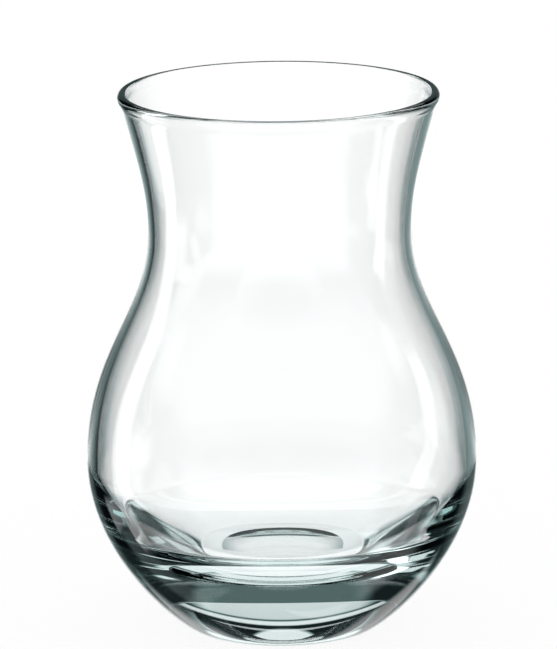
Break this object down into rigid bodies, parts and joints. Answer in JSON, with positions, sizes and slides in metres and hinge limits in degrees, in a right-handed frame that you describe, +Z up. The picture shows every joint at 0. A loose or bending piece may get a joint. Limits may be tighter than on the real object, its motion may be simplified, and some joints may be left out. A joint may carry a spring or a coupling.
{
  "type": "hyacinth forcing vase",
  "caption": "Clear glass vase with a thick base, a round bulb for water, a narrow waist that a flower bulb rests on, and a flared neck with a rounded lip.",
  "frame": {"origin": "middle of the resting ring, on the table", "axes": "+Z up along the axis that the vase is turned about; -Y is the side that faces the picture's camera"},
  "size_m": [0.0932, 0.0932, 0.13],
  "materials": {
    "clear_glass": "clear, fire-polished, with a faint green cast where it is thick"
  },
  "bodies": {
    "root": {"glass_vase": "clear_glass"}
  },
  "joints": []
}
